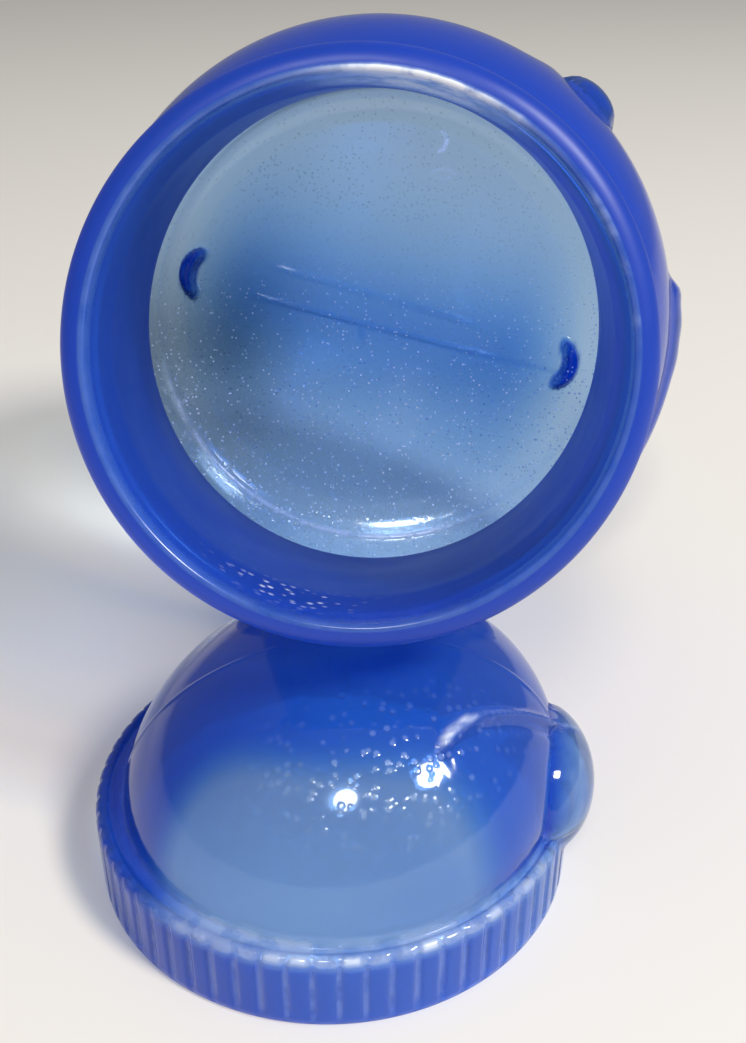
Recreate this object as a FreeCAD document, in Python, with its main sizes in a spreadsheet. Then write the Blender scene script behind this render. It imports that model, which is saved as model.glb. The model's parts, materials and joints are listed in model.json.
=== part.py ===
"""Pot-bellied jar lying on its side, with its mouth propped on its own domed lid.

Both pieces are translucent plastic mouldings. The lid stands on its ribbed skirt at the
origin, and the jar lies behind it on its heel, with its neck across the back of the dome.
Lengths are in millimetres and angles in degrees. +Z is up and the mouth faces -Y.
"""
import FreeCAD, Part
import math
import os

import Sketcher

SIZES = [
    ("skirt_diameter", 110.0, "lid, across the ribbed skirt"),
    ("skirt_height", 19.0, "lid, from the table to the brim"),
    ("lid_wall", 2.2, "lid, wall of skirt, brim and dome"),
    ("dome_radius", 51.5, "lid, half length of the dome's long axis"),
    ("dome_rise", 40.65, "lid, half length of the dome's short axis"),
    ("dome_lean", 18.0, "lid, long axis raised towards +X"),
    ("dome_offset", 1.5, "lid, dome centre from the skirt's axis along +X"),
    ("rib_count", 64.0, "lid, grooves round the skirt"),
    ("rib_groove", 0.9, "lid, radius of one groove"),
    ("lug_reach", 5.5, "lid, finger lug beyond the skirt"),
    ("lug_length", 38.0, "lid, finger lug along the rim"),
    ("lug_height", 34.0, "lid, finger lug from bottom to top"),
    ("lug_width", 28.0, "lid, finger lug from its dome side to its outer side"),
    ("lug_lift", 4.0, "lid, underside of the lug above the table"),
    ("lug_turn", 5.0, "lid, lug turned from +X towards -Y"),
    ("jar_height", 175.0, "jar, from base to lip"),
    ("belly_diameter", 172.5, "jar, widest"),
    ("heel_radius", 28.0, "jar, rounding between base and belly"),
    ("belly_curve", 55.0, "jar, rounding of the belly towards the neck"),
    ("shoulder_curve", 36.0, "jar, hollow curve between belly and neck"),
    ("neck_taper", 7.8, "jar, neck's slope from its axis"),
    ("jar_wall", 2.0, "jar, wall"),
    ("lip_diameter", 109.2, "jar, across the rolled lip"),
    ("lip_overhang", 5.4, "jar, rolled lip beyond the neck"),
    ("lip_thickness", 7.2, "jar, rolled lip's section"),
    ("nub_angle", 45.0, "jar, nub's place round the belly"),
    ("nub_reach", 6.0, "jar, nub beyond the belly"),
    ("nub_width", 24.0, "jar, nub across"),
    ("grip_start", -33.0, "jar, lower end of the grip ridge round the belly"),
    ("grip_sweep", 42.0, "jar, grip ridge's length round the belly"),
    ("grip_reach", 4.5, "jar, grip ridge beyond the belly"),
    ("grip_width", 20.0, "jar, grip ridge along the jar's axis"),
    ("mouth_height", 127.33, "jar, middle of the mouth above the table"),
    ("jar_turn", 1.8, "jar, mouth turned towards -X"),
    ("jar_offset", 6.6, "jar, middle of the mouth from the lid's axis along +X"),
    ("rest_gap", 0.3, "clearance between the neck and the dome"),
]

doc = FreeCAD.newDocument("jar_and_lid")
sheet = doc.addObject("Spreadsheet::Sheet", "sheet")
for row, (alias, number, words) in enumerate(SIZES, start=1):
    sheet.set("A%d" % row, words)
    sheet.set("B%d" % row, repr(number))
    sheet.setAlias("B%d" % row, alias)
doc.recompute()


def value(alias):
    """A size as the sheet now holds it."""
    return float(sheet.get(alias))


def plane(body, role):
    """One of a body's own origin planes or axes."""
    return [item for item in body.Origin.OriginFeatures if item.Role == role][0]


def sketch_on(body, name, role):
    """An empty sketch on one of the body's origin planes."""
    sketch = body.newObject("Sketcher::SketchObject", name)
    sketch.AttachmentSupport = [(plane(body, role), "")]
    sketch.MapMode = "FlatFace"
    return sketch


def drive(sketch, name, expression, *constraint):
    """Adds a constraint with a name and binds its value to the sheet."""
    index = sketch.addConstraint(Sketcher.Constraint(*constraint))
    sketch.renameConstraint(index, name)
    sketch.setExpression("Constraints." + name, expression)


def circle_at(sketch, x, y, radius, x_size, y_size, radius_size):
    """A circle whose middle and radius follow the sheet; x_size or y_size None keeps it on that axis."""
    index = sketch.addGeometry(Part.Circle(FreeCAD.Vector(x, y, 0), FreeCAD.Vector(0, 0, 1), radius))
    if x_size:
        drive(sketch, "middle_x", x_size, "DistanceX", -1, 1, index, 3, x)
    else:
        sketch.addConstraint(Sketcher.Constraint("PointOnObject", index, 3, -2))
    if y_size:
        drive(sketch, "middle_y", y_size, "DistanceY", -1, 1, index, 3, y)
    else:
        sketch.addConstraint(Sketcher.Constraint("PointOnObject", index, 3, -1))
    drive(sketch, "radius", radius_size, "Radius", index, radius)


def ellipsoid(body, kind, name, along_x, along_y, along_z, placement):
    """An ellipsoid added to the body or taken from it, with its half axes given as expressions."""
    solid = body.newObject("PartDesign::" + kind, name)
    solid.setExpression("Radius2", along_x)
    solid.setExpression("Radius3", along_y)
    solid.setExpression("Radius1", along_z)
    solid.setExpression("Placement", placement)
    return solid


# Lid: ribbed skirt

lid = doc.addObject("PartDesign::Body", "domed_lid")
lid.Label = "domed_lid"

skirt_sketch = sketch_on(lid, "skirt_outline", "XY_Plane")
circle_at(skirt_sketch, 0, 0, value("skirt_diameter") / 2, None, None, "sheet.skirt_diameter / 2")
skirt = lid.newObject("PartDesign::Pad", "skirt")
skirt.Profile = skirt_sketch
skirt.setExpression("Length", "sheet.skirt_height")

groove_sketch = sketch_on(lid, "groove_outline", "XY_Plane")
circle_at(groove_sketch, value("skirt_diameter") / 2 + value("rib_groove") / 4, 0, value("rib_groove"),
          "sheet.skirt_diameter / 2 + sheet.rib_groove / 4", None, "sheet.rib_groove")
groove = lid.newObject("PartDesign::Pocket", "groove")
groove.Profile = groove_sketch
groove.Type = "ThroughAll"
groove.Reversed = True
ribs = lid.newObject("PartDesign::PolarPattern", "ribs")
ribs.Originals = [groove]
ribs.Axis = (plane(lid, "Z_Axis"), [""])
ribs.Angle = 360
ribs.setExpression("Occurrences", "sheet.rib_count")
lid.Tip = ribs

# Lid: leaning dome and finger lug

DOME_PLACE = "placement(vector(sheet.dome_offset; 0; sheet.skirt_height); rotation(0; -sheet.dome_lean; 0))"
LUG_X = "(sheet.skirt_diameter / 2 + sheet.lug_reach - sheet.lug_width / 2)"
LUG_PLACE = ("placement(vector(%s * cos(sheet.lug_turn); -%s * sin(sheet.lug_turn);"
             " sheet.lug_lift + sheet.lug_height / 2); rotation(-sheet.lug_turn; 0; 0))" % (LUG_X, LUG_X))

ellipsoid(lid, "AdditiveEllipsoid", "dome",
          "sheet.dome_radius", "sheet.dome_radius", "sheet.dome_rise", DOME_PLACE)
ellipsoid(lid, "AdditiveEllipsoid", "lug",
          "sheet.lug_width / 2", "sheet.lug_length / 2", "sheet.lug_height / 2", LUG_PLACE)

# Lid: flat foot, then the hollow of skirt, dome and lug

foot_cut = lid.newObject("PartDesign::SubtractiveCylinder", "foot_cut")
foot_cut.setExpression("Radius", "sheet.skirt_diameter")
foot_cut.setExpression("Height", "2 * sheet.dome_radius")
foot_cut.setExpression("Placement", "placement(vector(0; 0; -2 * sheet.dome_radius); rotation(0; 0; 0))")

hollow_sketch = sketch_on(lid, "hollow_outline", "XY_Plane")
circle_at(hollow_sketch, 0, 0, value("skirt_diameter") / 2 - value("lid_wall"), None, None,
          "sheet.skirt_diameter / 2 - sheet.lid_wall")
hollow = lid.newObject("PartDesign::Pocket", "hollow")
hollow.Profile = hollow_sketch
hollow.Type = "Length"
hollow.Reversed = True
hollow.setExpression("Length", "sheet.skirt_height - sheet.lid_wall")

ellipsoid(lid, "SubtractiveEllipsoid", "dome_hollow",
          "sheet.dome_radius - sheet.lid_wall", "sheet.dome_radius - sheet.lid_wall",
          "sheet.dome_rise - sheet.lid_wall", DOME_PLACE)
ellipsoid(lid, "SubtractiveEllipsoid", "lug_hollow",
          "sheet.lug_width / 2 - sheet.lid_wall", "sheet.lug_length / 2 - sheet.lid_wall",
          "sheet.lug_height / 2 - sheet.lid_wall", LUG_PLACE)

# Jar: turned wall

jar = doc.addObject("PartDesign::Body", "jar")
jar.Label = "jar"


def wall_profile(name, inset, inset_size, top, top_size):
    """Half outline of the jar, drawn inset from the outer face and closed along the axis."""
    heel = value("heel_radius")
    belly = value("belly_diameter") / 2
    foot = belly - heel
    curve = value("belly_curve")
    hollow_curve = value("shoulder_curve") + inset
    taper = math.radians(value("neck_taper"))
    lip_level = value("jar_height") - value("lip_thickness") / 2
    neck = value("lip_diameter") / 2 - value("lip_overhang")
    neck_top = neck - inset / math.cos(taper) - (top - lip_level) * math.tan(taper)

    # The shoulder's centre lies at a set distance from the belly's centre and from the neck's slope.
    reach = curve - inset + hollow_curve
    out = FreeCAD.Vector(math.cos(taper), math.sin(taper), 0)
    offset = out.x * neck_top + out.y * top + hollow_curve
    from_belly = offset - out.x * (belly - curve) - out.y * heel
    swing = math.acos(from_belly / reach)
    lift = taper + swing
    middle = FreeCAD.Vector(belly - curve + reach * math.cos(lift), heel + reach * math.sin(lift), 0)
    neck_foot = middle - out * hollow_curve

    up = FreeCAD.Vector(0, 0, 1)
    sketch = sketch_on(jar, name, "XZ_Plane")
    base = sketch.addGeometry(Part.LineSegment(FreeCAD.Vector(0, inset, 0), FreeCAD.Vector(foot, inset, 0)))
    heel_arc = sketch.addGeometry(Part.ArcOfCircle(
        Part.Circle(FreeCAD.Vector(foot, heel, 0), up, heel - inset), -math.pi / 2, 0))
    belly_arc = sketch.addGeometry(Part.ArcOfCircle(
        Part.Circle(FreeCAD.Vector(belly - curve, heel, 0), up, curve - inset), 0, lift))
    shoulder = sketch.addGeometry(Part.ArcOfCircle(
        Part.Circle(middle, up, hollow_curve), math.pi + taper, math.pi + lift))
    neck_line = sketch.addGeometry(Part.LineSegment(neck_foot, FreeCAD.Vector(neck_top, top, 0)))
    cover = sketch.addGeometry(Part.LineSegment(FreeCAD.Vector(neck_top, top, 0), FreeCAD.Vector(0, top, 0)))
    axis = sketch.addGeometry(Part.LineSegment(FreeCAD.Vector(0, top, 0), FreeCAD.Vector(0, inset, 0)))

    sketch.addConstraint(Sketcher.Constraint("Coincident", base, 2, heel_arc, 1))
    sketch.addConstraint(Sketcher.Constraint("Tangent", heel_arc, 2, belly_arc, 1))
    sketch.addConstraint(Sketcher.Constraint("Tangent", belly_arc, 2, shoulder, 2))
    sketch.addConstraint(Sketcher.Constraint("Tangent", shoulder, 1, neck_line, 1))
    sketch.addConstraint(Sketcher.Constraint("Coincident", neck_line, 2, cover, 1))
    sketch.addConstraint(Sketcher.Constraint("Coincident", cover, 2, axis, 1))
    sketch.addConstraint(Sketcher.Constraint("Coincident", axis, 2, base, 1))
    sketch.addConstraint(Sketcher.Constraint("Horizontal", base))
    sketch.addConstraint(Sketcher.Constraint("Horizontal", cover))
    sketch.addConstraint(Sketcher.Constraint("PointOnObject", axis, 1, -2))
    sketch.addConstraint(Sketcher.Constraint("PointOnObject", axis, 2, -2))

    rim = ("sheet.lip_diameter / 2 - sheet.lip_overhang - (%s) / cos(sheet.neck_taper)"
           " - (%s - sheet.jar_height + sheet.lip_thickness / 2) * tan(sheet.neck_taper)" % (inset_size, top_size))
    foot_size = "sheet.belly_diameter / 2 - sheet.heel_radius"
    drive(sketch, "foot_x", foot_size, "DistanceX", -1, 1, heel_arc, 3, foot)
    drive(sketch, "heel_level", "sheet.heel_radius", "DistanceY", -1, 1, heel_arc, 3, heel)
    drive(sketch, "heel_size", "sheet.heel_radius - (%s)" % inset_size, "Radius", heel_arc, heel - inset)
    drive(sketch, "foot_end", foot_size, "DistanceX", -1, 1, heel_arc, 1, foot)
    drive(sketch, "belly_level", "sheet.heel_radius", "DistanceY", -1, 1, heel_arc, 2, heel)
    drive(sketch, "belly_size", "sheet.belly_curve - (%s)" % inset_size, "Radius", belly_arc, curve - inset)
    drive(sketch, "shoulder_size", "sheet.shoulder_curve + (%s)" % inset_size, "Radius", shoulder, hollow_curve)
    drive(sketch, "taper", "(90 + sheet.neck_taper) * 1 deg", "Angle", neck_line, math.pi / 2 + taper)
    drive(sketch, "rim", rim, "DistanceX", -1, 1, neck_line, 2, neck_top)
    drive(sketch, "top", top_size, "DistanceY", -1, 1, neck_line, 2, top)
    return sketch


LIP_LEVEL = "sheet.jar_height - sheet.lip_thickness / 2"
NECK_LEVEL = "(sheet.jar_height - sheet.lip_thickness * 0.3)"
outside = wall_profile("outside_outline", 0.0, "0",
                       value("jar_height") - value("lip_thickness") * 0.3, NECK_LEVEL)
turned = jar.newObject("PartDesign::Revolution", "turned")
turned.Profile = outside
turned.ReferenceAxis = (outside, ["V_Axis"])
turned.Angle = 360

# Jar: rolled lip

lip_sketch = sketch_on(jar, "lip_outline", "XZ_Plane")
circle_at(lip_sketch, value("lip_diameter") / 2 - value("lip_thickness") / 2,
          value("jar_height") - value("lip_thickness") / 2, value("lip_thickness") / 2,
          "sheet.lip_diameter / 2 - sheet.lip_thickness / 2", LIP_LEVEL, "sheet.lip_thickness / 2")
lip = jar.newObject("PartDesign::Revolution", "lip")
lip.Profile = lip_sketch
lip.ReferenceAxis = (lip_sketch, ["V_Axis"])
lip.Angle = 360

# Jar: nub and grip ridge on the belly

NUB_OUT = "(sheet.belly_diameter / 2 + sheet.nub_reach - sheet.nub_width / 2)"
ellipsoid(jar, "AdditiveEllipsoid", "nub", "sheet.nub_width / 2", "sheet.nub_width / 2", "sheet.nub_width / 2",
          "placement(vector(%s * cos(sheet.nub_angle); %s * sin(sheet.nub_angle); sheet.heel_radius);"
          " rotation(0; 0; 0))" % (NUB_OUT, NUB_OUT))

GRIP_OUT = "(sheet.belly_diameter / 2 + sheet.grip_reach - sheet.grip_width / 2)"
grip = jar.newObject("PartDesign::AdditiveTorus", "grip")
grip.setExpression("Radius1", GRIP_OUT)
grip.setExpression("Radius2", "sheet.grip_width / 2")
grip.setExpression("Angle3", "sheet.grip_sweep * 1 deg")
grip.setExpression("Placement", "placement(vector(0; 0; sheet.heel_radius); rotation(sheet.grip_start; 0; 0))")
for name, turn in (("grip_low_end", "sheet.grip_start"), ("grip_high_end", "(sheet.grip_start + sheet.grip_sweep)")):
    ellipsoid(jar, "AdditiveEllipsoid", name, "sheet.grip_width / 2", "sheet.grip_width / 2", "sheet.grip_width / 2",
              "placement(vector(%s * cos(%s); %s * sin(%s); sheet.heel_radius); rotation(%s; 0; 0))"
              % (GRIP_OUT, turn, GRIP_OUT, turn, turn))

# Jar: hollow

inside = wall_profile("inside_outline", value("jar_wall"), "sheet.jar_wall",
                      value("jar_height"), "sheet.jar_height")
hollowed = jar.newObject("PartDesign::Groove", "hollowed")
hollowed.Profile = inside
hollowed.ReferenceAxis = (inside, ["V_Axis"])
hollowed.Angle = 360

# Jar: rest on the table by its heel and over the dome by its neck

FOOT = "(sheet.belly_diameter / 2 - sheet.heel_radius)"
LENGTH = "(sheet.jar_height - sheet.heel_radius)"
TILT = ("((asin((sheet.mouth_height - sheet.heel_radius) / sqrt(%s ^ 2 + %s ^ 2)) - atan(%s / %s)) / 1 deg)"
        % (LENGTH, FOOT, FOOT, LENGTH))
SLOPE = "(%s + sheet.neck_taper)" % TILT
DOME_HALF = ("((sheet.dome_radius * sin(sheet.dome_lean)) ^ 2"
             " + (sheet.dome_rise * cos(sheet.dome_lean)) ^ 2)")
DOME_REACH = ("(sheet.skirt_height * cos(%s) + sqrt((sheet.dome_radius * sin(%s)) ^ 2 + %s * cos(%s) ^ 2))"
              % (SLOPE, SLOPE, DOME_HALF, SLOPE))
NECK_AT_MOUTH = ("(sheet.lip_diameter / 2 - sheet.lip_overhang"
                 " - sheet.lip_thickness / 2 * tan(sheet.neck_taper))")
MOUTH_Y = ("((%s + sheet.rest_gap + %s * cos(sheet.neck_taper) - sheet.mouth_height * cos(%s)) / sin(%s))"
           % (DOME_REACH, NECK_AT_MOUTH, SLOPE, SLOPE))
BASE_X = "(sheet.jar_offset + sheet.jar_height * cos(%s) * sin(sheet.jar_turn))" % TILT
BASE_Y = "(%s + sheet.jar_height * cos(%s) * cos(sheet.jar_turn))" % (MOUTH_Y, TILT)
BASE_Z = "(sheet.mouth_height - sheet.jar_height * sin(%s))" % TILT
jar.setExpression("Placement", "placement(vector(%s; %s; %s); rotation(-sheet.jar_turn; 0; 90 - %s))"
                  % (BASE_X, BASE_Y, BASE_Z, TILT))

# Checks and files

doc.recompute()
for item in doc.Objects:
    for state in item.State:
        if state in ("Invalid", "Error"):
            raise RuntimeError("%s is %s" % (item.Label, state))
os.makedirs("parts", exist_ok=True)
for piece in (lid, jar):
    shape = piece.Shape
    if shape.isNull() or not shape.isValid() or len(shape.Solids) != 1:
        raise RuntimeError("%s is not one valid solid" % piece.Label)
    shape.exportStep("parts/%s.step" % piece.Label)
    box = shape.optimalBoundingBox()
    print(piece.Label, round(shape.Volume), box)
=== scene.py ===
"""Translucent blue jar lying over its own domed lid, dressed for a still picture.

Both pieces are closed shells of one clear cobalt plastic, worked out as surfaces of two
parameters: an angle round the piece and a step along its wall. Depth of colour comes from
the thickness of the wall, as it does in the real moulding, with painted shade, painted light
and painted glints laid over it in places.
"""

import json
import math

import bpy
import numpy as np
from bpy.props import FloatProperty, IntProperty, PointerProperty, StringProperty
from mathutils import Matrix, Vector


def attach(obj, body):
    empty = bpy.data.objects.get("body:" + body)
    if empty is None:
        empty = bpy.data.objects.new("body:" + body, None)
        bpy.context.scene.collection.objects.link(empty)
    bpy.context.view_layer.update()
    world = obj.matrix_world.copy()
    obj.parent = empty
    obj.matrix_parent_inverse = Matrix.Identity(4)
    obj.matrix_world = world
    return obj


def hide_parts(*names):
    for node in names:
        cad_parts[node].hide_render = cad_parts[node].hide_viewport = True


bl_info = {
    "name": "Propped jar and lid",
    "version": (1, 0, 0),
    "blender": (4, 5, 0),
    "location": "View3D > Sidebar > Jar",
    "description": "Builds a translucent blue jar lying over its domed lid",
    "category": "Add Mesh",
}

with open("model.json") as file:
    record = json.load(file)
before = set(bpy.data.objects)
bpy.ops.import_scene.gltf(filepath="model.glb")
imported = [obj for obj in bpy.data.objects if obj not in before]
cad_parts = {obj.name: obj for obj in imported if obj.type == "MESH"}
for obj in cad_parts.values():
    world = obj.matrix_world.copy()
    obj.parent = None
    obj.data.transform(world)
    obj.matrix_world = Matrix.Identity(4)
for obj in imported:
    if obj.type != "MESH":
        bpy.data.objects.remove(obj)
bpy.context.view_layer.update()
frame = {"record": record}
MM = 0.001
LOCAL = "moulding_mm"
# Depth and darkening also carry painted shade and painted light, and wear and damp carry painted glints.
DEPTH_AND_SHADE = "wall_depth_and_shade"
TINT = "wall_tint"
WEAR_AND_GLINTS = "edge_wear_and_glints"
DAMP_AND_GLINTS = "damp_beads_and_glints"
DARKENING = "darkening"

# Radius of the thin line round the inside of the jar's heel, and the level up to which the heel reaches
HEEL_LINE = 0.0715
HEEL_TOP = 0.03


# Sizes and colours

class JarSizes(bpy.types.PropertyGroup):
    """Sizes of the pot-bellied jar."""

    height: FloatProperty(name="Height", description="From base to lip", default=0.175, unit="LENGTH")
    belly: FloatProperty(name="Belly", description="Widest diameter", default=0.1725, unit="LENGTH")
    heel: FloatProperty(name="Heel", description="Rounding under the belly", default=0.028, unit="LENGTH")
    belly_curve: FloatProperty(name="Belly curve", description="Rounding over the belly",
                               default=0.055, unit="LENGTH")
    shoulder: FloatProperty(name="Shoulder", description="Hollow curve under the neck",
                            default=0.036, unit="LENGTH")
    neck: FloatProperty(name="Neck", description="Neck diameter at the lip", default=0.0984, unit="LENGTH")
    taper: FloatProperty(name="Taper", description="Slope of the neck",
                         default=math.radians(7.8), subtype="ANGLE")
    wall: FloatProperty(name="Wall", description="Wall thickness", default=0.002, unit="LENGTH")
    lip: FloatProperty(name="Lip", description="Outer diameter of the rolled lip",
                       default=0.1092, unit="LENGTH")
    lip_roll: FloatProperty(name="Lip roll", description="Section of the rolled lip",
                            default=0.0072, unit="LENGTH")
    seam: FloatProperty(name="Seam", description="Turn of the mould seam",
                        default=math.radians(-13.5), subtype="ANGLE")
    columns: IntProperty(name="Columns", description="Steps round the jar", default=304)


class LidSizes(bpy.types.PropertyGroup):
    """Sizes of the domed lid."""

    skirt: FloatProperty(name="Skirt", description="Diameter over the ribs", default=0.110, unit="LENGTH")
    skirt_height: FloatProperty(name="Skirt height", description="From table to brim",
                                default=0.019, unit="LENGTH")
    wall: FloatProperty(name="Wall", description="Wall thickness", default=0.0022, unit="LENGTH")
    dome: FloatProperty(name="Dome", description="Half of the dome's long axis",
                        default=0.0515, unit="LENGTH")
    rise: FloatProperty(name="Rise", description="Half of the dome's short axis",
                        default=0.04065, unit="LENGTH")
    lean: FloatProperty(name="Lean", description="Long axis raised to the right",
                        default=math.radians(18), subtype="ANGLE")
    offset: FloatProperty(name="Offset", description="Dome centre to the right",
                          default=0.0015, unit="LENGTH")
    ribs: IntProperty(name="Ribs", description="Ribs round the skirt", default=64)
    rib_depth: FloatProperty(name="Rib depth", description="Height of a rib", default=0.0006, unit="LENGTH")
    lug_reach: FloatProperty(name="Lug reach", description="Lug beyond the skirt",
                             default=0.0055, unit="LENGTH")
    lug_width: FloatProperty(name="Lug width", description="Lug across", default=0.028, unit="LENGTH")
    lug_length: FloatProperty(name="Lug length", description="Lug along the rim",
                              default=0.038, unit="LENGTH")
    lug_height: FloatProperty(name="Lug height", description="Lug from bottom to top",
                              default=0.034, unit="LENGTH")
    lug_lift: FloatProperty(name="Lug lift", description="Lug above the table", default=0.004, unit="LENGTH")
    lug_turn: FloatProperty(name="Lug turn", description="Lug turned to the front",
                            default=math.radians(5), subtype="ANGLE")


class Finishes(bpy.types.PropertyGroup):
    """Colours and clarity of the plastic, and the colour of the floor."""

    stain: StringProperty(name="Stain", description="Colour that the plastic lets pass", default="#62BEF1")
    density: FloatProperty(name="Density", description="Absorption per metre", default=250.0)
    thin: StringProperty(name="Thin wall", description="Tint of a thin wall", default="#CCE1F5")
    thick: StringProperty(name="Thick wall", description="Tint of a thick wall", default="#1957D2")
    floor: StringProperty(name="Floor", description="Colour of the floor", default="#F6F0E6")


# Small helpers

def linear(text):
    """An sRGB hex colour as linear red, green, blue and full alpha."""
    steps = np.array([int(text[i:i + 2], 16) / 255 for i in (1, 3, 5)])
    lin = np.where(steps <= 0.04045, steps / 12.92, ((steps + 0.055) / 1.055) ** 2.4)
    return (*lin.tolist(), 1.0)


def add_node(tree, kind, settings=None, values=None, links=None):
    """Adds a node, sets its properties and socket values, and links sockets from other nodes' outputs."""
    node = tree.nodes.new(kind)
    for key, value in (settings or {}).items():
        setattr(node, key, value)
    for key, value in (values or {}).items():
        node.inputs[key].default_value = value
    for key, source in (links or {}).items():
        tree.links.new(source, node.inputs[key])
    return node


def arc(middle_r, middle_z, radius, start, stop, count):
    """Points on a circle in the half plane of radius and height, from one angle to another."""
    turn = np.linspace(start, stop, count)
    return np.stack([middle_r + radius * np.cos(turn), middle_z + radius * np.sin(turn)], 1)


def straight(first, last, count):
    """Evenly spaced points from one point of the half plane to another."""
    share = np.linspace(0, 1, count)[:, None]
    return np.array(first)[None] * (1 - share) + np.array(last)[None] * share


def join(*parts):
    """Runs of profile points end to end, without the repeated point where two runs meet."""
    points = np.concatenate(parts)
    gap = np.linalg.norm(np.diff(points, axis=0), axis=1)
    return points[np.concatenate([[True], gap > 1e-7])]


def smooth_step(low, high, x):
    """0 below low, 1 above high, and a soft S between them."""
    t = np.clip((x - low) / (high - low), 0, 1)
    return t * t * (3 - 2 * t)


def bell(x, middle, width):
    """1 at the middle, and falling to almost 0 at twice the width to either side."""
    return np.exp(-((x - middle) / width) ** 2)


def band(x, start, full, fade, end):
    """0 up to start, 1 from full to fade, and 0 again from end on."""
    return smooth_step(start, full, x) * smooth_step(end, fade, x)


def soft_max(a, b, width):
    """The larger of two heights, with the crease between them rounded over the given width."""
    near = np.maximum(width - np.abs(a - b), 0) / width
    return np.maximum(a, b) + near * near * width * 0.25


def wall_tint(depth):
    """Colour of a wall by its depth, painted shade and painted light included: from the thin tint to the
    thick one, by the same share for each step.
    """
    finish = bpy.context.scene.finishes
    thin = np.array(linear(finish.thin))
    thick = np.array(linear(finish.thick))
    return thin * (thick / thin) ** depth[:, None]


def shell(name, rings, local, marks):
    """Closed mesh over rings of points whose first and last ring are each one point.

    rings and local are arrays of row, column and coordinate; local is kept on the points in millimetres.
    marks has one number per row and column for each of depth (0 on a thin wall, 1 on a thick one, with
    painted shade and painted light laid over it), scuffs and glints (1 on a scuffed edge or a painted glint),
    damp (1 or more where beads of water lie) and darkening (the share of the tint taken away, partly as
    painted shade, or below 0 where painted light makes the wall lighter).
    """
    rows, columns, _ = rings.shape
    inner = rows - 2

    def flat(grid):
        return np.concatenate([grid[0, :1], grid[1:-1].reshape(-1, *grid.shape[2:]), grid[-1, :1]])

    points = flat(rings)
    index = 1 + np.arange(inner * columns).reshape(inner, columns)
    right = np.roll(index, -1, axis=1)
    quads = np.stack([index[:-1], right[:-1], right[1:], index[1:]], -1).reshape(-1, 4)
    last = len(points) - 1
    first_fan = np.stack([np.zeros(columns, int), right[0], index[0]], -1)
    last_fan = np.stack([np.full(columns, last), index[-1], right[-1]], -1)
    fans = np.concatenate([first_fan, last_fan])
    a, b, c, d = (points[quads[:, i]] for i in range(4))
    volume = np.einsum("ij,ij->", a, np.cross(b, c)) + np.einsum("ij,ij->", a, np.cross(c, d))
    if volume < 0:
        quads = quads[:, ::-1]
        fans = fans[:, ::-1]
    corners = np.concatenate([quads.ravel(), fans.ravel()]).astype(np.int32)
    sizes = np.concatenate([np.full(len(quads), 4), np.full(len(fans), 3)]).astype(np.int32)
    starts = np.concatenate([[0], np.cumsum(sizes)[:-1]]).astype(np.int32)

    mesh = bpy.data.meshes.new(name)
    mesh.vertices.add(len(points))
    mesh.vertices.foreach_set("co", points.astype(np.float32).ravel())
    mesh.loops.add(len(corners))
    mesh.loops.foreach_set("vertex_index", corners)
    mesh.polygons.add(len(sizes))
    mesh.polygons.foreach_set("loop_start", starts)
    mesh.polygons.foreach_set("loop_total", sizes)
    mesh.polygons.foreach_set("use_smooth", np.ones(len(sizes), bool))
    kept = mesh.attributes.new(LOCAL, "FLOAT_VECTOR", "POINT")
    kept.data.foreach_set("vector", (flat(local) / MM).astype(np.float32).ravel())
    for key in (DEPTH_AND_SHADE, WEAR_AND_GLINTS, DAMP_AND_GLINTS):
        layer = mesh.attributes.new(key, "FLOAT", "POINT")
        layer.data.foreach_set("value", flat(marks[key]).astype(np.float32))
    tint = mesh.attributes.new(TINT, "FLOAT_COLOR", "POINT")
    colour = wall_tint(np.minimum(flat(marks[DEPTH_AND_SHADE]), 1)) * (1 - flat(marks[DARKENING]))[:, None]
    tint.data.foreach_set("color", colour.astype(np.float32).ravel())
    mesh.update(calc_edges=True)
    mesh.validate()
    piece = bpy.data.objects.new(name, mesh)
    bpy.context.scene.collection.objects.link(piece)
    return piece


# Jar

def jar_axes():
    """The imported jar's base centre, and its own right, up and mouth directions as matrix columns."""
    base = next(m for m in frame["record"]["mounts"] if m["name"] == "jar_base")
    mouth = -np.array(base["axis"], float)
    mouth /= np.linalg.norm(mouth)
    right = np.array([-mouth[1], mouth[0], 0.0])
    right /= np.linalg.norm(right)
    up = np.cross(mouth, right)
    return np.array(base["pos_m"], float), np.stack([right, up, mouth], 1)


def jar_wall(jar, inset, heel_rows=22):
    """The jar's turned wall, inset from its outer face, as runs of points on three arcs that touch.

    The heel is a quarter circle, the belly goes on over it, and the shoulder is a hollow arc that ends
    along the neck's slope. Where belly and shoulder touch comes from the distance between their middles.
    """
    over_rows, hollow_rows = 26, 14
    belly = jar.belly / 2
    foot = belly - jar.heel
    hollow = jar.shoulder + inset
    lip_level = jar.height - jar.lip_roll / 2
    rim = jar.neck / 2 - inset / math.cos(jar.taper)
    reach = jar.belly_curve - inset + hollow
    across, along = math.cos(jar.taper), math.sin(jar.taper)
    offset = across * rim + along * lip_level + hollow
    swing = math.acos((offset - across * (belly - jar.belly_curve) - along * jar.heel) / reach)
    lift = jar.taper + swing
    middle_r = belly - jar.belly_curve + reach * math.cos(lift)
    middle_z = jar.heel + reach * math.sin(lift)
    heel = arc(foot, jar.heel, jar.heel - inset, -math.pi / 2, 0, heel_rows)
    over = arc(belly - jar.belly_curve, jar.heel, jar.belly_curve - inset, 0, lift, over_rows)
    hollow_run = arc(middle_r, middle_z, hollow, math.pi + lift, math.pi + jar.taper, hollow_rows)
    return foot, heel, over, hollow_run, rim, lip_level


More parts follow.
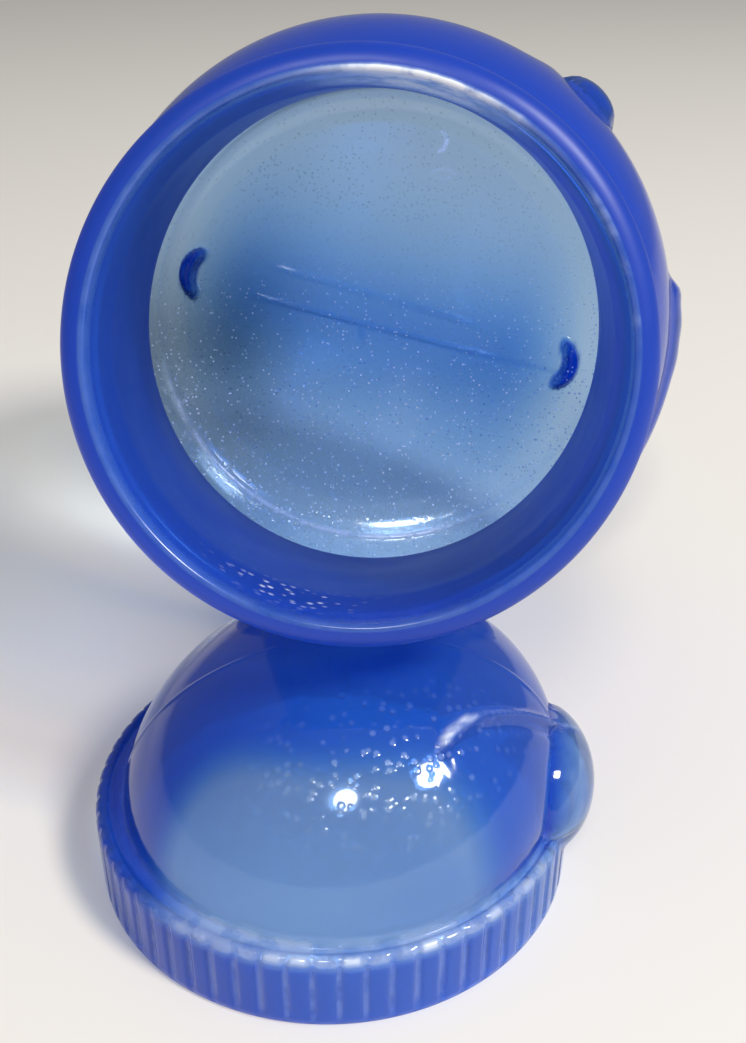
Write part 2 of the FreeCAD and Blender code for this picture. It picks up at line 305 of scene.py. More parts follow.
def base_relief(jar, x, y):
    """Extra thickness of the base: a low swell along the seam, pinch-off lines and a crescent at each end.

    All of it is a sum of bells and soft steps, in millimetres along the seam and across it.
    """
    swell_high, swell_core = 1.9, 0.6
    line_high, upper_high, tick_high = 0.55, 0.35, 0.6
    crescent_high, crescent_radius, crescent_inset = 6.0, 7.8, 3.0
    along = (x * math.cos(jar.seam) + y * math.sin(jar.seam)) / MM
    across = (-x * math.sin(jar.seam) + y * math.cos(jar.seam)) / MM
    swell = swell_high * bell(across, -4.0, 33.0) + swell_core * bell(across, -1.0, 13.0)
    swell = swell * smooth_step(70, 40, np.abs(along))
    line = line_high * bell(across, -3.0, 0.7) * smooth_step(56, 46, np.abs(along - 9))
    upper = upper_high * bell(across + 0.03 * along, 6.3, 0.9) * smooth_step(38, 28, np.abs(along + 4))
    tick = tick_high * bell(along + 0.3 * (across + 5.5), -4.7, 0.7) * bell(across, -5.5, 2.0)
    relief = swell + line + upper + tick
    for side, place, drop in ((-1, 66.0, -0.5), (1, 65.5, 0.0)):
        out = side * along - place + crescent_radius
        up = (across - drop) * 0.95
        round_out = smooth_step(8.5, 7.0, np.hypot(out, up))
        round_in = smooth_step(5.6, 7.2, np.hypot(out + crescent_inset, up))
        relief = relief + crescent_high * round_out * round_in * smooth_step(0.0, 4.0, out)
    return relief * MM


def belly_relief(turn, level, jar):
    """Outward relief on the belly: a hooked nub high on the right and a long grip below it.

    The nub is half an ellipsoid in the turn and the height over the widest line, the grip is half an
    ellipse in that height with soft ends, and the nub's swell and the grip's three lumps are bells.
    """
    nub_high, nub_swell, grip_high, lump_high = 6.0, 1.2, 3.6, 0.65
    half_height = 11.0
    degrees = np.degrees(turn)
    height = (level - jar.heel) / MM
    nub = np.sqrt(np.maximum(1 - ((degrees - 46.3) / 6.5) ** 2 - (height / half_height) ** 2, 0))
    swell = bell(degrees, 56.0, 4.0) * bell(height, 0.0, 10.0)
    ends = band(degrees, -37, -31, 6, 11.5)
    ridge = np.sqrt(np.maximum(1 - (height / half_height) ** 2, 0)) * ends
    tail = 1.0 - 0.08 * smooth_step(-4, -30, degrees)
    lumps = 0.0
    for place, size, share in ((7.0, 2.6, 1.0), (0.5, 3.2, 1.3), (-6.0, 3.4, 1.0)):
        lumps = lumps + share * bell(degrees, place, size) * bell(height, 0.0, 8.0)
    return (nub_high * nub + nub_swell * swell + grip_high * ridge * tail + lump_high * lumps * ends) * MM


def jar_marks(jar, crest, turn, radius, level, x, y, inside):
    """Depth, scuffs and glints, damp and darkening over the jar's wall.

    Each is a sum of bells and soft bands. Depth follows the base's relief, grows up the heel and is
    greatest inside the neck; it is less at the lip's inner edge, and less at the top of the throat as
    painted light. Scuffs and glints whiten a faint line round the inner edge of the lip, with a painted
    highlight at its top and six painted highlights on its right, the top of the throat as a painted
    highlight, a line low round the heel as a painted glint, a pale hook and loop high on the base, and the
    right inside the neck as painted light. Damp lies low in the throat, high on its right and along the
    heel, and its beads are whitened as painted glints. The darkening is grey painted shade on the left of
    the base, and below 0, as painted light, on the right inside the neck.
    """
    thin_end, thick_end, satin_end = 0.016, 0.040, 0.060
    # Turns round the lip of six painted highlights on its right.
    highlight_turns, highlight_width = (57.0, 35.0, 31.3, 27.8, 20.0, 9.0), 1.3
    hook_x, hook_y, loop_x, loop_y = 17, 55, 19, 45
    degrees = np.degrees(turn)
    relief = base_relief(jar, x, y) / MM
    right = x / MM
    up = y / MM
    away = smooth_step(thin_end, thick_end, level)
    # A painted highlight at the top of the lip and the throat.
    top = bell(degrees, 78, 16)
    edge = smooth_step(jar.height - 0.0045, jar.height - 0.0010, level) * (radius < crest + 0.0003)
    throat = inside * smooth_step(0.155, 0.162, level) * (radius < crest)
    raised = np.clip(relief / 9.5 + 0.5 * smooth_step(3.2, 6.0, relief), 0, 1)
    depth = np.where(level < thin_end, raised, 0.0) * (1 - away) + away
    depth = depth + 0.12 * inside * smooth_step(thick_end, satin_end, level)
    # Less deep at the lip's inner edge, and at the top of the throat as painted light.
    depth = depth * (1 - 0.5 * edge) * (1 - 0.5 * throat * top)

    # A painted glint along a line low on the lower left of the heel.
    heel = (level < HEEL_TOP) * inside * band(degrees, -174, -155, -76, -56)
    heel_glint = heel * bell(radius, HEEL_LINE, 0.0009)
    wet_heel = heel * bell(radius, 0.0720, 0.0045)
    hook = bell(np.hypot(right - hook_x, up - hook_y), 3.2, 0.6) * (right > hook_x + 0.5)
    loop = bell(np.hypot(right - loop_x, (up - loop_y) * 2.2), 3.4, 0.7)
    streak = np.maximum(hook, 0.5 * loop) * (level < thin_end) * inside
    # Painted light on the right inside the neck, making the wall there lighter.
    lit_right = smooth_step(0.3, 0.9, np.cos(turn)) * band(level, 0.050, 0.080, 0.158, 0.168)
    edge_highlights = sum(bell(degrees, place, highlight_width) for place in highlight_turns)
    scuffs_and_glints = (0.10 + 0.5 * top + 0.22 * edge_highlights) * edge + 0.95 * throat * top
    scuffs_and_glints = scuffs_and_glints + 0.6 * heel_glint + 0.7 * streak + 0.10 * inside * lit_right

    # Damp beads low and on the right in the throat and along the heel; the material whitens them as painted
    # glints.
    low = 3 * bell(degrees, -107, 14) * bell(level, 0.161, 0.006)
    high = bell(degrees, 37, 10) * band(level, 0.120, 0.135, 0.155, 0.168)
    damp = np.clip(inside * np.maximum(low, high) + wet_heel, 0, 3)
    # Painted shade: grey laid over the tint on the left of the base, about its middle height.
    left_shade = 0.84 * smooth_step(-8, -52, right) * bell(up, -9, 38) * (1 - away)
    return {DEPTH_AND_SHADE: depth, WEAR_AND_GLINTS: scuffs_and_glints, DAMP_AND_GLINTS: damp, DARKENING: inside * (left_shade - 0.45 * lit_right)}


class OBJECT_OT_propped_jar(bpy.types.Operator):
    """Builds the lying jar: a turned shell with a rolled lip, a nub, a grip and a pinched base"""

    bl_idname = "object.propped_jar"
    bl_label = "Propped jar"

    def execute(self, context):
        jar = context.scene.jar_sizes
        foot_rows, neck_rows, throat_rows, base_rows, heel_rows = 14, 18, 12, 80, 54
        foot, heel, over, hollow, _, lip_level = jar_wall(jar, 0.0)
        roll = jar.lip_roll / 2
        lip_r = jar.lip / 2 - roll
        slope = math.tan(jar.taper)
        under_start = math.radians(-114)
        crest_inset, mouth_edge = 0.0006, 0.0010
        crest = lip_r - crest_inset
        mouth = crest - mouth_edge
        under = arc(lip_r, lip_level, roll, under_start, 0, 12)
        flange = np.linspace(0, math.pi / 2, 16)
        flange_r = crest + (jar.lip / 2 - crest) * np.cos(flange)
        over_lip = np.stack([flange_r, lip_level + roll * np.sin(flange)], 1)
        edge = arc(crest, jar.height - mouth_edge, mouth_edge, math.pi / 2, math.pi, 9)
        bead = join(under, over_lip, edge)
        neck = straight(hollow[-1], bead[0], neck_rows)
        outside = join(straight((0, 0), (foot, 0), foot_rows), heel, over, hollow, neck)

        # The mouth is straight inside, down to where the neck's slope is as wide.
        in_foot, in_heel, in_over, in_hollow, in_rim, _ = jar_wall(jar, jar.wall, heel_rows)
        in_top = (mouth, lip_level - (mouth - in_rim) / slope)
        throat = straight(bead[-1], in_top, throat_rows)
        in_neck = straight(in_top, in_hollow[-1], neck_rows)
        inside = join(throat, in_neck, in_hollow[::-1], in_over[::-1], in_heel[::-1],
                      straight((in_foot, jar.wall), (0, jar.wall), base_rows))
        profile = join(outside, bead, inside)
        outer_rows = len(outside)

        turn = np.linspace(0, 2 * math.pi, jar.columns, endpoint=False)
        turn_signed = (turn + math.pi) % (2 * math.pi) - math.pi
        radius = np.repeat(profile[:, :1], jar.columns, axis=1)
        level = np.repeat(profile[:, 1:], jar.columns, axis=1)
        within = (np.arange(len(profile)) >= outer_rows)[:, None]

        # The neck is slightly oval inside, narrower from side to side by the square of the turn's cosine.
        narrowing, line_height = 0.0019, 0.0006
        grown = belly_relief(turn_signed[None], level, jar)
        oval = narrowing * np.cos(turn)[None] ** 2 * band(level, 0.066, 0.088, 0.110, 0.165)
        radius = radius + np.where(within, -oval, grown)
        x = radius * np.cos(turn)[None]
        y = radius * np.sin(turn)[None]
        floor_share = smooth_step(0.012, 0.004, level) * within
        heel_line = line_height * bell(radius, HEEL_LINE, 0.0008) * ((level < HEEL_TOP) & within)
        level = level + base_relief(jar, x, y) * floor_share + heel_line
        local = np.stack([x, y, level], -1)
        local[0] = local[0, :1]
        local[-1] = local[-1, :1]
        base, axes = jar_axes()
        marks = jar_marks(jar, crest, turn_signed[None], radius, level, x, y, within)
        piece = shell("blue_jar", base + local @ axes.T, local, marks)
        piece.data.materials.append(blown_plastic("blow_moulded_cobalt_jar", context.scene.finishes, True))
        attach(piece, "jar")
        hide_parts("jar")
        return {"FINISHED"}


# Lid

def lug_reach(lid, x, y, z):
    """How far out the finger lug, an ellipsoid, reaches on the level line from the axis through each point.

    It is the larger root of the quadratic for where that line meets the ellipsoid, or 0 where it misses.
    """
    half = (lid.lug_width / 2, lid.lug_length / 2, lid.lug_height / 2)
    middle = lid.skirt / 2 + lid.lug_reach - half[0]
    spare = 1 - ((z - lid.lug_lift - half[2]) / half[2]) ** 2
    span = np.maximum(np.hypot(x, y), 1e-9)
    swing_cos, swing_sin = math.cos(lid.lug_turn), math.sin(lid.lug_turn)
    cos = (x * swing_cos - y * swing_sin) / span
    sin = (x * swing_sin + y * swing_cos) / span
    a = (cos / half[0]) ** 2 + (sin / half[1]) ** 2
    b = -2 * middle * cos / half[0] ** 2
    c = (middle / half[0]) ** 2 - spare
    root = b * b - 4 * a * c
    hit = (root > 0) & (spare > 0) & (cos > 0)
    return np.where(hit, (-b + np.sqrt(np.maximum(root, 0))) / (2 * a), 0.0)


def dome_reach(lid, inset, x, y, z):
    """Distance from the dome's centre to its wall, a leaning ellipsoid, along each unit direction.

    It is 1 over the root of the summed squares of the direction's parts, each over its own half axis.
    """
    long_way = x * math.cos(lid.lean) + z * math.sin(lid.lean)
    short_way = -x * math.sin(lid.lean) + z * math.cos(lid.lean)
    wide, low = lid.dome - inset, lid.rise - inset
    return 1 / np.sqrt((long_way / wide) ** 2 + (y / wide) ** 2 + (short_way / low) ** 2)


def panel_edge(around):
    """Degrees down from the dome's top to the panel's upper edge: a parabola of the angle round the dome."""
    highest, middle, curve = 45.0, -43.0, 0.0175
    return highest + curve * (around - middle) ** 2


def panel_parts(around, down):
    """The dome's panel below its upper edge, the bead along that edge, and a painted highlight along that
    edge, strongest at its end nearer the front.
    """
    below = down - panel_edge(around)
    ends = band(around, -56, -51, -4, 6)
    panel = smooth_step(0, 1.4, below) * np.exp(-np.maximum(below, 0) / 9.0) * ends
    bead = bell(below, 1.4, 1.6) * ends
    panel_glint = bell(below, 0.8, 0.9) * ends * (0.25 + 0.75 * smooth_step(-34, -41, around))
    return panel, bead, panel_glint


def dome_relief(turn, slope, y):
    """Outward relief on the dome: a panel that runs to the lug, its stepped upper edge and the mould seam."""
    panel_high, bead_high, groove_deep, seam_high = 0.9, 1.0, 0.9, 0.2
    down = np.degrees(slope)
    around = np.degrees(turn)
    panel, bead, _ = panel_parts(around, down)
    groove = bell(down - panel_edge(around), 5.5, 2.0) * band(around, -40, -32, -14, -6)
    seam = bell(y, -0.004, 0.0005) * smooth_step(14, 24, down)
    return (panel_high * panel + bead_high * bead - groove_deep * groove + seam_high * seam) * MM


def lid_marks(lid, points, phase, glint_row, outside, lug, crease):
    """Depth, scuffs and glints, damp and darkening over the lid's wall.

    A lighter patch of painted light, a rounded oblong in angle round the dome and slope from its top, lies
    low on the front of the dome. Painted shade deepens the wall on the left, in the lug's crease and in the
    gutter on the right, and painted light makes it lighter on the lug, on the right of the skirt and along
    the front of the brim. Scuffs and glints whiten the tops of some ribs as painted glints, the panel's
    upper edge as a painted highlight, the front of the brim and the lug as painted light, and the lines
    between the ribs and the foot of the dome as pale lines. The darkening is slight over the whole lid and
    a little more over the patch. Damp gathers on the dome where the highlights fall, and its beads are
    whitened as painted glints.
    """
    x, y, z = points[..., 0], points[..., 1], points[..., 2]
    span = np.hypot(x, y)
    over = z - lid.skirt_height
    around = np.degrees(np.arctan2(y, x - lid.offset))
    down = np.degrees(np.arctan2(np.hypot(x - lid.offset, y), over))

    # A lighter patch low on the front of the dome, painted light where light comes through it.
    corner, middle_around, middle_down, half_around, half_down = 3.5, -94.5, 86.0, 45.0, 40.0
    oblong = np.abs((around - middle_around) / half_around) ** corner
    oblong = oblong + np.abs((down - middle_down) / half_down) ** corner
    lit_window = smooth_step(1.16, 0.82, oblong ** (1 / corner)) * smooth_step(-0.0005, 0.0005, over)
    # Painted shade on the left and in the gutter, and painted light on the lug, the front of the brim and the
    # right of the skirt.
    left = smooth_step(0.01, -0.04, x)
    lug = smooth_step(0, 0.005, lug)
    front = smooth_step(-0.026, -0.042, y - 0.2 * x) * band(over, -0.0030, -0.0010, 0.0010, 0.0035)
    right = smooth_step(0.030, 0.050, x) * smooth_step(-0.0005, -0.0025, over) * (1 - lug)
    gutter = bell(over, 0.0015, 0.0028) * (span < 0.0535) * smooth_step(0.020, 0.040, x) * (1 - lug)
    # Wall depth with painted shade and painted light laid over it; the lug's crease is deepened as painted
    # shade.
    plain, lit_window_depth = 0.68, 0.08
    wall = (plain + 0.25 * left - 0.42 * lug - 0.3 * right) * (1 - front) + 0.5 * crease + 0.45 * gutter
    depth = wall * (1 - lit_window) + lit_window_depth * lit_window
    # A slight darkening over the whole lid, a little more over the painted light patch.
    darkening = 0.08 + 0.10 * lit_window

    # A sine of the rib's number, far past its first turns, stands in for chance.
    number = np.floor(np.degrees(np.arctan2(y, x)) / (360 / lid.ribs) + 0.5)
    luck = (np.sin(number * 12.9898) * 43758.5453) % 1.0
    off_rib = np.abs(phase)[None]
    # Painted glints on the rib tops, most near the front.
    ribs = glint_row[:, None] * smooth_step(0.40, 0.18, off_rib) * (0.15 + 0.85 * (luck > 0.3))
    ribs = ribs * (0.15 + 0.85 * bell(around, -76, 28))
    lines = smooth_step(0.34, 0.46, off_rib) * band(z, 0.0005, 0.003, 0.0150, 0.0175) * (1 - lug)
    foot = bell(over, 0.0005, 0.0006) * (span < 0.0515)
    _, _, panel_glint = panel_parts(around, down)
    # Painted glints on rib tops, a painted highlight on the panel's edge and painted light on the front of
    # the brim and the lug; the lines between ribs and the foot of the dome are pale lines.
    scuffs_and_glints = 0.18 * lines + 0.5 * ribs + 0.85 * panel_glint + 0.12 * foot + 0.3 * front + 0.16 * lug
    # Damp beads on the front right of the dome, where the highlights fall.
    damp = outside * bell(around, -73, 34) * bell(down, 50, 14)
    return {DEPTH_AND_SHADE: depth, WEAR_AND_GLINTS: np.clip(outside * scuffs_and_glints, 0, 1), DAMP_AND_GLINTS: damp, DARKENING: darkening}


class OBJECT_OT_domed_lid(bpy.types.Operator):
    """Builds the lid: a ribbed skirt, a brim, a leaning dome and a hollow finger lug"""

    bl_idname = "object.domed_lid"
    bl_label = "Domed lid"

    def dome(self, lid, inset, turn, rows):
        """Rows of points over the dome from its top to the brim, a little closer together near the brim."""
        share = np.linspace(0, 1, rows)
        slope = (math.pi / 2) * share ** 0.9
        x = np.sin(slope)[:, None] * np.cos(turn)[None]
        y = np.sin(slope)[:, None] * np.sin(turn)[None]
        z = np.cos(slope)[:, None] * np.ones_like(turn)[None]
        reach = dome_reach(lid, inset, x, y, z)
        if inset == 0:
            signed = (turn + math.pi) % (2 * math.pi) - math.pi
            relief = dome_relief(signed[None], slope[:, None], reach * y)
            reach = reach + relief * smooth_step(1.0, 0.93, share)[:, None]
        return np.stack([lid.offset + reach * x, reach * y, lid.skirt_height + reach * z], -1)

    def ring(self, radius, level, turn):
        """One level ring of points; radius may change with the turn."""
        radius = np.broadcast_to(radius, turn.shape)
        return np.stack([radius * np.cos(turn), radius * np.sin(turn), np.full_like(turn, level)], -1)

    def execute(self, context):
        lid = context.scene.lid_sizes
        rib_columns, dome_rows, inner_rows, side_rows, in_side_rows = 9, 84, 48, 12, 8
        turn = np.linspace(0, 2 * math.pi, lid.ribs * rib_columns, endpoint=False)
        edge = lid.skirt / 2
        height = lid.skirt_height
        phase = (turn * lid.ribs / (2 * math.pi) + 0.5) % 1.0 - 0.5
        valley = lid.rib_depth * smooth_step(0.28, 0.46, np.abs(phase))

        outer = self.dome(lid, 0.0, turn, dome_rows)
        foot = np.hypot(outer[-1, :, 0], outer[-1, :, 1])
        rows = [outer]
        brim_shares = (0.12, 0.35, 0.6, 0.82)
        # Painted glints on the rounded top of the ribs, by row of the bend.
        bend_glints = [0.0, 0.3, 1.0, 0.8, 0.1, 0.0]
        glint_row = [0.0] * (len(outer) + len(brim_shares)) + bend_glints
        round_top, brim_dip, side_end = 0.0020, 0.0003, 0.0008
        for share in brim_shares:
            flat_r = foot + (edge - round_top - foot) * share
            rows.append(self.ring(flat_r, height - brim_dip * math.sin(math.pi * share), turn)[None])
        for share in np.linspace(0, 1, len(bend_glints)):
            bend = math.pi / 2 * share
            ribbed = edge - valley * share
            rows.append(self.ring(ribbed - round_top * (1 - math.sin(bend)),
                                  height - round_top * (1 - math.cos(bend)), turn)[None])
        for level in np.linspace(height - round_top, side_end, side_rows)[1:]:
            low = smooth_step(0.0004, 0.0030, level)
            rows.append(self.ring(edge - valley * low, level, turn)[None])
        foot_round, in_foot_round, corner_round = 0.0006, 0.0004, 0.001
        rows.append(self.ring(edge - foot_round, 0.0, turn)[None])
        outer_count = sum(len(run) for run in rows)
        inner_edge = edge - lid.wall
        rows.append(self.ring(inner_edge + in_foot_round, 0.0, turn)[None])
        for level in np.linspace(foot_round, height - lid.wall - corner_round, in_side_rows):
            rows.append(self.ring(inner_edge, level, turn)[None])
        inner = self.dome(lid, lid.wall, turn, inner_rows)
        in_foot = np.hypot(inner[-1, :, 0], inner[-1, :, 1])
        corner = inner_edge - corner_round
        for share in (0.0, 0.3, 0.6, 0.9):
            rows.append(self.ring(corner + (in_foot - corner) * share, height - lid.wall, turn)[None])
        rows.append(inner[::-1])
        points = np.concatenate(rows)

        x, y, z = points[..., 0], points[..., 1], points[..., 2]
        span = np.hypot(x, y)
        reach = lug_reach(lid, x, y, z)
        reach[outer_count:] = np.maximum(reach[outer_count:] - lid.wall, 0)
        lug_blend, crease_width, crease_depth = 0.0010, 0.0014, 0.0014
        grown = np.where(reach > 0, soft_max(span, reach, lug_blend), span)
        crease = bell(span, reach, crease_width) * smooth_step(0.020, 0.023, z)
        crease[outer_count:] = 0
        grown = grown - crease_depth * crease
        share = grown / np.maximum(span, 1e-9)
        points = np.stack([x * share, y * share, z], -1)
        points[0] = points[0, :1]
        points[-1] = points[-1, :1]
        glint_row = np.pad(np.array(glint_row), (0, len(points) - len(glint_row)))
        outside = (np.arange(len(points)) < outer_count)[:, None]
        marks = lid_marks(lid, points, phase, glint_row, outside, np.maximum(grown - span, 0), crease)
        piece = shell("blue_lid", points, points.copy(), marks)
        piece.data.materials.append(blown_plastic("blow_moulded_cobalt_lid", context.scene.finishes, False))
        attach(piece, "lid")
        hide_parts("domed_lid")
        return {"FINISHED"}


# Finishes

def blown_plastic(name, finish, dusty):
    """Blow-moulded polypropylene, glossy and clear: pale where thin, deep cobalt where thick, with painted
    shade, painted light and painted glints laid on from the marks on the wall.

    Numbered sockets are, on Map Range, 0 for the value, 1 and 2 for where it comes from and 3 and 4 for
    where it goes, and on Mix, 0 for the share and 6 and 7 for the two colours.
    """
    material = bpy.data.materials.new(name)
    material.use_nodes = True
    tree = material.node_tree
    tree.nodes.clear()
    place = add_node(tree, "ShaderNodeAttribute", {"attribute_name": LOCAL}).outputs["Vector"]
    deep = add_node(tree, "ShaderNodeAttribute", {"attribute_name": DEPTH_AND_SHADE}).outputs["Fac"]
    tint = add_node(tree, "ShaderNodeAttribute", {"attribute_name": TINT}).outputs["Color"]
    scuffs_and_glints = add_node(tree, "ShaderNodeAttribute", {"attribute_name": WEAR_AND_GLINTS}).outputs["Fac"]
    moist = add_node(tree, "ShaderNodeAttribute", {"attribute_name": DAMP_AND_GLINTS}).outputs["Fac"]
    axis = add_node(tree, "ShaderNodeSeparateXYZ", None, None, {0: place})
    clear = add_node(tree, "ShaderNodeMapRange", None, {3: 0.97, 4: 0.6}, {0: deep})
    times = {"operation": "MULTIPLY"}
    more = {"operation": "ADD"}
    larger = {"operation": "MAXIMUM"}

    # Slow waves of the blown wall, about 14 mm long.
    waves = add_node(tree, "ShaderNodeTexNoise", None, {"Scale": 1 / 14, "Detail": 2.0}, {"Vector": place})
    wavy = add_node(tree, "ShaderNodeBump", None, {"Strength": 0.25, "Distance": 0.0006},
                    {"Height": waves.outputs["Fac"]})

    # Beads of damp, up to 1.9 mm across on a 2.1 mm grid, where the damp lies.
    cells = add_node(tree, "ShaderNodeTexVoronoi", None, {"Scale": 1 / 2.1}, {"Vector": place})
    bead = add_node(tree, "ShaderNodeMapRange", {"interpolation_type": "SMOOTHSTEP"},
                    {1: 0.46, 2: 0.16, 3: 0.0, 4: 1.0}, {0: cells.outputs["Distance"]})
    chance = add_node(tree, "ShaderNodeSeparateColor", None, None, {0: cells.outputs["Color"]})
    chosen = add_node(tree, "ShaderNodeMath", {"operation": "GREATER_THAN"}, {1: 0.25},
                      {0: chance.outputs[0]})
    drop = add_node(tree, "ShaderNodeMath", times, None, {0: bead.outputs[0], 1: chosen.outputs[0]})
    beads = add_node(tree, "ShaderNodeMath", times, None, {0: drop.outputs[0], 1: moist})
    damp = add_node(tree, "ShaderNodeBump", None, {"Strength": 0.5, "Distance": 0.0003},
                    {"Height": beads.outputs[0], "Normal": wavy.outputs["Normal"]})

    # Dust on a 1.3 mm grid in grains of about half a millimetre, drawn that coarse so that it shows.
    # It lies only on the jar's base and is thickest low down.
    near_share = 0.95 if dusty else 0.0
    grains = add_node(tree, "ShaderNodeTexVoronoi", None, {"Scale": 1 / 1.3}, {"Vector": place})
    grain = add_node(tree, "ShaderNodeMapRange", None, {1: 0.31, 2: 0.19, 3: 0.0, 4: 0.85},
                     {0: grains.outputs["Distance"]})
    luck = add_node(tree, "ShaderNodeSeparateColor", None, None, {0: grains.outputs["Color"]})
    some = add_node(tree, "ShaderNodeMapRange", None, {1: 0.45, 2: 0.9, 3: 0.0, 4: 1.0},
                    {0: luck.outputs[1]})
    low = add_node(tree, "ShaderNodeMapRange", None, {1: 30.0, 2: -25.0, 3: 0.05, 4: 1.0},
                   {0: axis.outputs[1]})
    near = add_node(tree, "ShaderNodeMapRange", None, {1: 16.0, 2: 9.0, 3: 0.0, 4: near_share},
                    {0: axis.outputs[2]})
    share = add_node(tree, "ShaderNodeMath", times, None, {0: grain.outputs[0], 1: some.outputs[0]})
    zone = add_node(tree, "ShaderNodeMath", times, None, {0: low.outputs[0], 1: near.outputs[0]})
    dust = add_node(tree, "ShaderNodeMath", times, None, {0: share.outputs[0], 1: zone.outputs[0]})

    # Specks of soot, one grain in five, high on the base.
    dark = add_node(tree, "ShaderNodeMapRange", None, {1: 0.74, 2: 0.84, 3: 0.0, 4: 1.0},
                    {0: luck.outputs[2]})
    high = add_node(tree, "ShaderNodeMapRange", None, {1: 0.0, 2: 45.0, 3: 0.0, 4: 0.5},
                    {0: axis.outputs[1]})
    speck = add_node(tree, "ShaderNodeMath", times, None, {0: grain.outputs[0], 1: dark.outputs[0]})
    upper = add_node(tree, "ShaderNodeMath", times, None, {0: high.outputs[0], 1: near.outputs[0]})
    soot = add_node(tree, "ShaderNodeMath", times, None, {0: speck.outputs[0], 1: upper.outputs[0]})
    sooty = add_node(tree, "ShaderNodeMix", {"data_type": "RGBA"}, {7: linear("#26344C")},
                     {0: soot.outputs[0], 6: tint})

    # Scuffed edges, painted highlights, painted glints and painted light, broken up in patches of about 5 mm.
    patch = add_node(tree, "ShaderNodeTexNoise", None, {"Scale": 1 / 5, "Detail": 3.0}, {"Vector": place})
    broken = add_node(tree, "ShaderNodeMapRange", None, {1: 0.3, 2: 0.55, 3: 0.35, 4: 1.0},
                      {0: patch.outputs["Fac"]})
    scuff_and_glint = add_node(tree, "ShaderNodeMath", times, None, {0: scuffs_and_glints, 1: broken.outputs[0]})
    pale = add_node(tree, "ShaderNodeMath", larger, None, {0: dust.outputs[0], 1: scuff_and_glint.outputs[0]})
    # The beads are whitened a little as painted glints.
    bead_glint = add_node(tree, "ShaderNodeMath", {"operation": "MULTIPLY", "use_clamp": True}, {1: 0.28},
                    {0: beads.outputs[0]})
    white = add_node(tree, "ShaderNodeMath", larger, None, {0: pale.outputs[0], 1: bead_glint.outputs[0]})
    paint = add_node(tree, "ShaderNodeMix", {"data_type": "RGBA"}, {7: linear("#F4F8FF")},
                     {0: white.outputs[0], 6: sooty.outputs[2]})
    open_share = add_node(tree, "ShaderNodeMath", {"operation": "SUBTRACT", "use_clamp": True}, None,
                          {0: clear.outputs[0], 1: white.outputs[0]})

    # Gloss that wanders in smears of about 22 mm, and turns satin up the jar's wall and most inside its neck.
    satin_share = 0.10 if dusty else 0.0
    smear = add_node(tree, "ShaderNodeTexNoise", None, {"Scale": 1 / 22, "Detail": 4.0}, {"Vector": place})
    gloss = add_node(tree, "ShaderNodeMapRange", None, {1: 0.35, 2: 0.7, 3: 0.05, 4: 0.13},
                     {0: smear.outputs["Fac"]})
    satin = add_node(tree, "ShaderNodeMapRange", None, {1: 25.0, 2: 70.0, 3: 0.0, 4: satin_share},
                     {0: axis.outputs[2]})
    inner = add_node(tree, "ShaderNodeMapRange", None, {1: 1.0, 2: 1.1, 3: 0.0, 4: 0.22}, {0: deep})
    soft = add_node(tree, "ShaderNodeMath", more, None, {0: satin.outputs[0], 1: inner.outputs[0]})
    haze = add_node(tree, "ShaderNodeMath", more, None, {0: soft.outputs[0], 1: gloss.outputs[0]})
    body = add_node(tree, "ShaderNodeBsdfPrincipled", None,
                    {"IOR": 1.49, "Specular IOR Level": 0.35},
                    {"Base Color": paint.outputs[2], "Transmission Weight": open_share.outputs[0],
                     "Roughness": haze.outputs[0], "Normal": damp.outputs["Normal"]})
    stain = add_node(tree, "ShaderNodeVolumeAbsorption", None,
                     {"Color": linear(finish.stain), "Density": finish.density})

    # Lamps shine through the wall, so the inside and the floor behind get blue light as they do in life.
    path = add_node(tree, "ShaderNodeLightPath")
    passing = add_node(tree, "ShaderNodeBsdfTransparent", None, {"Color": linear("#FFEFDE")})
    both = add_node(tree, "ShaderNodeMixShader", None, None,
                    {0: path.outputs["Is Shadow Ray"], 1: body.outputs["BSDF"], 2: passing.outputs["BSDF"]})
    add_node(tree, "ShaderNodeOutputMaterial", None, None,
             {"Surface": both.outputs["Shader"], "Volume": stain.outputs["Volume"]})
    return material


def pale_floor(finish):
    """Matt white studio board."""
    material = bpy.data.materials.new("matt_studio_board")
    material.use_nodes = True
    tree = material.node_tree
    tree.nodes.clear()
    body = add_node(tree, "ShaderNodeBsdfPrincipled", None,
                    {"Base Color": linear(finish.floor), "Roughness": 0.9, "Specular IOR Level": 0.2})
    add_node(tree, "ShaderNodeOutputMaterial", None, None, {"Surface": body.outputs["BSDF"]})
    return material


# Stage

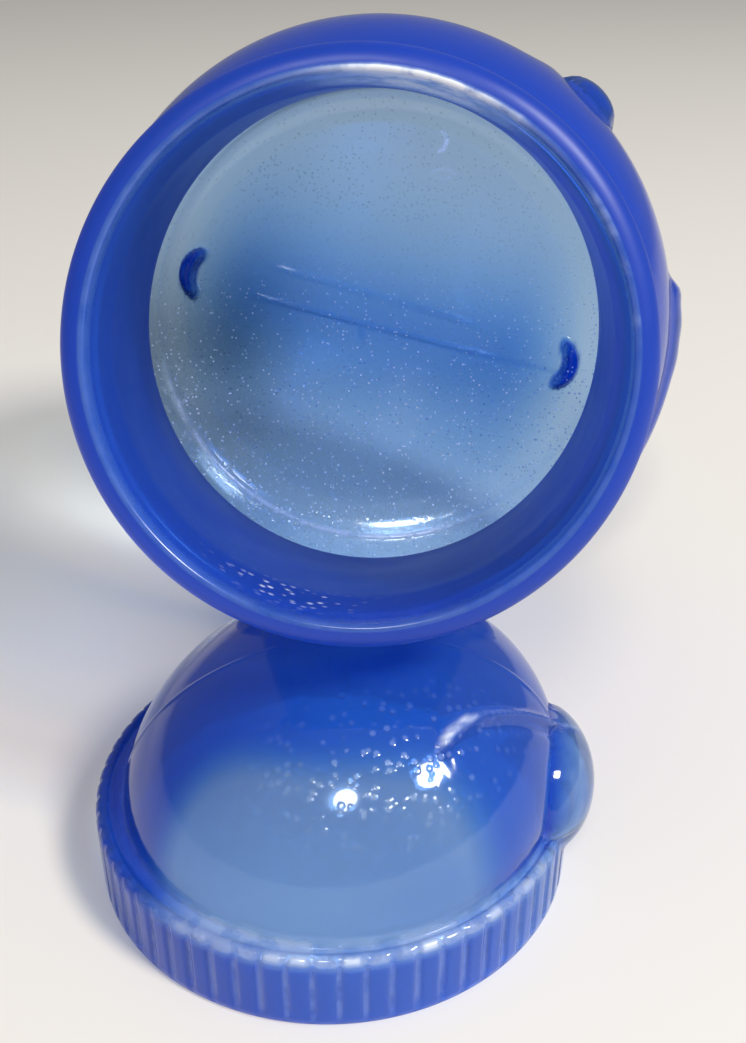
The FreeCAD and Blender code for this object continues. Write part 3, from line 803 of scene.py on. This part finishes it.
class SCENE_OT_pale_stage(bpy.types.Operator):
    """Builds the pale floor, the soft light and the camera"""

    bl_idname = "scene.pale_stage"
    bl_label = "Pale stage"

    def lamp(self, name, place, target, size, power):
        """A round soft light at a place, facing a target."""
        data = bpy.data.lights.new(name, "AREA")
        data.shape = "DISK"
        data.size = size
        data.energy = power
        item = bpy.data.objects.new(name, data)
        item.location = place
        item.rotation_euler = (Vector(target) - Vector(place)).to_track_quat("-Z", "Y").to_euler()
        bpy.context.scene.collection.objects.link(item)

    def execute(self, context):
        scene = context.scene
        mesh = bpy.data.meshes.new("floor")
        wide, floor_drop = 6.0, 0.0002
        corners = [(-wide, -wide, 0), (wide, -wide, 0), (wide, wide, 0), (-wide, wide, 0)]
        mesh.from_pydata(corners, [], [(0, 1, 2, 3)])
        floor = bpy.data.objects.new("floor", mesh)
        floor.location.z = -floor_drop
        scene.collection.objects.link(floor)
        mesh.materials.append(pale_floor(scene.finishes))

        middle = (0.02, 0, 0.06)
        self.lamp("key_light", (1.376, -1.007, 1.844), middle, 0.56, 46.0)
        self.lamp("fill_light", (-0.251, -1.575, 1.938), middle, 0.46, 15.0)

        world = bpy.data.worlds.new("pale_studio")
        world.use_nodes = True
        world.node_tree.nodes.clear()
        sky = add_node(world.node_tree, "ShaderNodeBackground", None,
                       {"Color": (0.93, 0.95, 1.0, 1), "Strength": 0.3})
        add_node(world.node_tree, "ShaderNodeOutputWorld", None, None, {"Surface": sky.outputs["Background"]})
        scene.world = world

        # Focal length and width are in pixels of one picture, and the angle of looking down is in degrees.
        focal, width, look_down = 1165, 746, 29.74
        data = bpy.data.cameras.new("camera")
        data.sensor_fit = "HORIZONTAL"
        data.sensor_width = 36.0
        data.lens = data.sensor_width * focal / width
        data.clip_start = 0.01
        camera = bpy.data.objects.new("camera", data)
        camera.location = (0.00935, -0.2091, 0.2060)
        camera.rotation_euler = (math.radians(90 - look_down), 0, 0)
        scene.collection.objects.link(camera)
        scene.camera = camera
        scene.view_settings.view_transform = "Standard"
        return {"FINISHED"}


class VIEW3D_PT_propped_jar(bpy.types.Panel):
    """Lists the steps that build the jar, the lid and the stage"""

    bl_label = "Propped jar"
    bl_space_type = "VIEW_3D"
    bl_region_type = "UI"
    bl_category = "Jar"

    def draw(self, context):
        for step in STEPS:
            self.layout.operator(step.bl_idname)


GROUPS = (("jar_sizes", JarSizes), ("lid_sizes", LidSizes), ("finishes", Finishes))
STEPS = (OBJECT_OT_propped_jar, OBJECT_OT_domed_lid, SCENE_OT_pale_stage)


def register():
    """Registers the classes and hangs the settings on the scene."""
    for name, group in GROUPS:
        bpy.utils.register_class(group)
        setattr(bpy.types.Scene, name, PointerProperty(type=group))
    for item in STEPS + (VIEW3D_PT_propped_jar,):
        bpy.utils.register_class(item)


def unregister():
    """Takes the classes and the settings away again."""
    for item in (VIEW3D_PT_propped_jar,) + STEPS[::-1]:
        bpy.utils.unregister_class(item)
    for name, group in GROUPS[::-1]:
        delattr(bpy.types.Scene, name)
        bpy.utils.unregister_class(group)


def main():
    """Builds everything in order."""
    register()
    bpy.ops.object.propped_jar()
    bpy.ops.object.domed_lid()
    bpy.ops.scene.pale_stage()


if __name__ == "__main__":
    main()
